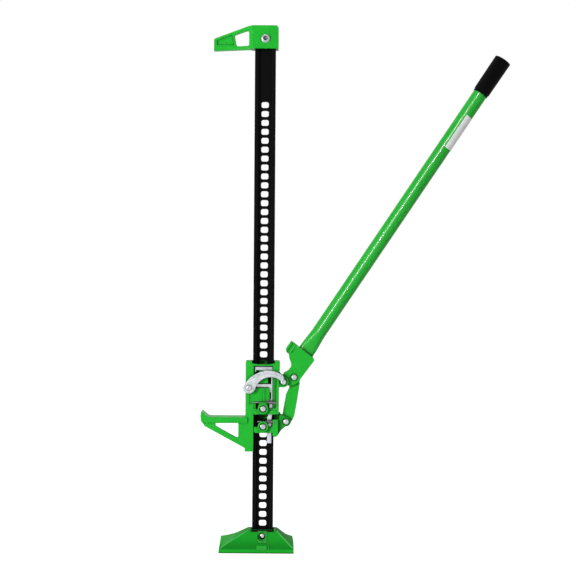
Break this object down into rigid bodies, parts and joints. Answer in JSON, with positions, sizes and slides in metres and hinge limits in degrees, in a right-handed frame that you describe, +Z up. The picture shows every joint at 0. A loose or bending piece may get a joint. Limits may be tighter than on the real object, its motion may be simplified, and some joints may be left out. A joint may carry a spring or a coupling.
{
  "type": "high lift jack",
  "caption": "Upright perforated rack on a cast foot with a climbing carriage, lifting nose, top clamp and long tubular pump handle.",
  "frame": {"origin": "on the ground, under the middle plane and axis of the rack", "axes": "+Z up along the rack; +X across the rack towards the handle, away from the lifting nose; -Y towards the front, where the latch and the pins show"},
  "size_m": [0.7062, 0.112, 1.2041],
  "materials": {
    "painted": "bright green gloss paint on castings and tube",
    "rack_black": "black semi-gloss paint on rolled steel",
    "zinc": "bright zinc plating",
    "steel": "bare spring and pin steel",
    "grip_rubber": "matt black moulded rubber",
    "label_white": "bare white self-adhesive film"
  },
  "bodies": {
    "frame": {"rack": "rack_black", "base_plate": "painted", "base_bolt": "zinc", "base_nut": "zinc", "top_clamp": "painted", "clamp_bolt": "zinc", "clamp_nut": "zinc"},
    "carriage": {"large_runner": "painted", "upper_cross_pin": "steel", "upper_pin_spring": "steel", "shear_bolt": "zinc", "shear_nut": "zinc", "latch_bolt": "steel", "latch_washer": "zinc"},
    "lower_carriage": {"small_runner": "painted", "lower_cross_pin": "steel", "lower_pin_spring": "steel", "pitman_bottom_pin": "zinc", "pitman_bottom_nut": "zinc"},
    "upper_pin": {"upper_climbing_pin": "zinc"},
    "lower_pin": {"lower_climbing_pin": "zinc"},
    "latch": {"reversing_latch": "zinc"},
    "shifter": {"shifter_bar": "zinc"},
    "handle": {"handle_socket": "painted", "handle_tube": "painted", "handle_grip": "grip_rubber", "handle_label": "label_white", "handle_bolt": "zinc", "pitman_top_pin": "zinc", "pitman_top_nut": "zinc"},
    "link": {"pitman": "painted"}
  },
  "joints": [
    {"name": "carriage_slide", "type": "slide", "parent": "frame", "child": "carriage", "axis": [0, 0, 1], "range_m": [-0.164, 0.697]},
    {"name": "handle_pump", "type": "hinge", "parent": "carriage", "child": "handle", "pos_m": [0.0461, 0, 0.3883], "axis": [0, 1, 0], "range_deg": [-28, 50]},
    {"name": "pitman_swing", "type": "hinge", "parent": "handle", "child": "link", "pos_m": [0.07052, 0, 0.39859], "axis": [0, 1, 0], "range_deg": [-47.6, 26.7]},
    {"name": "small_runner_slide", "type": "slide", "parent": "carriage", "child": "lower_carriage", "axis": [0, 0, -1], "range_m": [-0.0115, 0.0206]},
    {"name": "upper_pin_slide", "type": "slide", "parent": "carriage", "child": "upper_pin", "axis": [0, 1, 0], "range_m": [0, 0.0095]},
    {"name": "lower_pin_slide", "type": "slide", "parent": "lower_carriage", "child": "lower_pin", "axis": [0, 1, 0], "range_m": [0, 0.0095]},
    {"name": "latch_swing", "type": "hinge", "parent": "carriage", "child": "latch", "pos_m": [-0.03264, 0, 0.37548], "axis": [0, 1, 0], "range_deg": [0, 15]},
    {"name": "shifter_slide", "type": "slide", "parent": "carriage", "child": "shifter", "axis": [0, 0, -1], "range_m": [0, 0.006]}
  ],
  "couplings": [
    {"joint": "pitman_swing", "follows": "handle_pump", "ratio": -0.95},
    {"joint": "small_runner_slide", "follows": "handle_pump", "m_per_rad": 0.02349},
    {"joint": "shifter_slide", "follows": "latch_swing", "m_per_rad": 0.0229}
  ]
}
